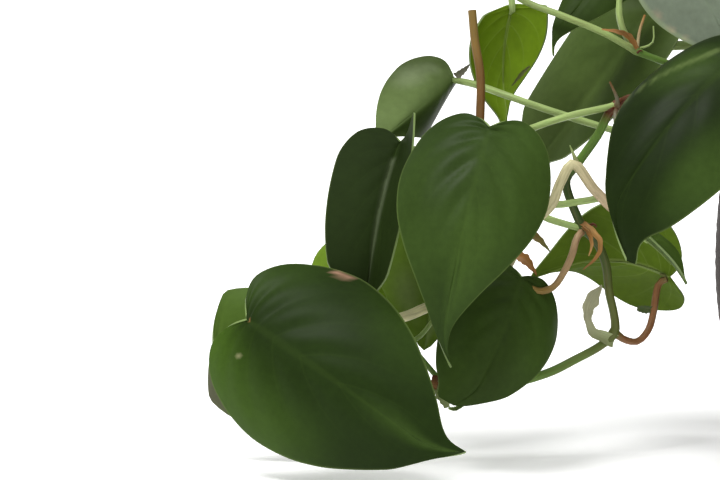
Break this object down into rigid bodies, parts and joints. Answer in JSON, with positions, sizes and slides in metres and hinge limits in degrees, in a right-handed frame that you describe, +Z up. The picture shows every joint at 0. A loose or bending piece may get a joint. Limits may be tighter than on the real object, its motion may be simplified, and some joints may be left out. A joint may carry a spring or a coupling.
{
  "type": "potted heartleaf philodendron",
  "caption": "Trailing house plant with heart-shaped leaves on slender vines, rooted in a round-bellied pot of soil that stands on its flat foot.",
  "frame": {"origin": "middle of the pot's flat foot, on the surface that the pot stands on", "axes": "+Z up, -Y to the front that the picture shows, and the longest leafy stems trail to -X"},
  "size_m": [0.5812, 0.6497, 0.2943],
  "materials": {
    "pot": "smooth satin glaze, charcoal brown",
    "soil": "loose, crumbly, matte",
    "foliage": "satin dark green leaves, paler green and brown stems"
  },
  "bodies": {
    "root": {"pot": "pot", "potting_soil": "soil", "leafy_stem_01": "foliage", "leafy_stem_02": "foliage", "leafy_stem_03": "foliage", "leafy_stem_04": "foliage", "leafy_stem_05": "foliage", "leafy_stem_06": "foliage", "leafy_stem_07": "foliage", "leafy_stem_08": "foliage", "leafy_stem_09": "foliage", "leafy_stem_10": "foliage", "leafy_stem_11": "foliage", "leafy_stem_12": "foliage", "leafy_stem_13": "foliage"}
  },
  "joints": []
}
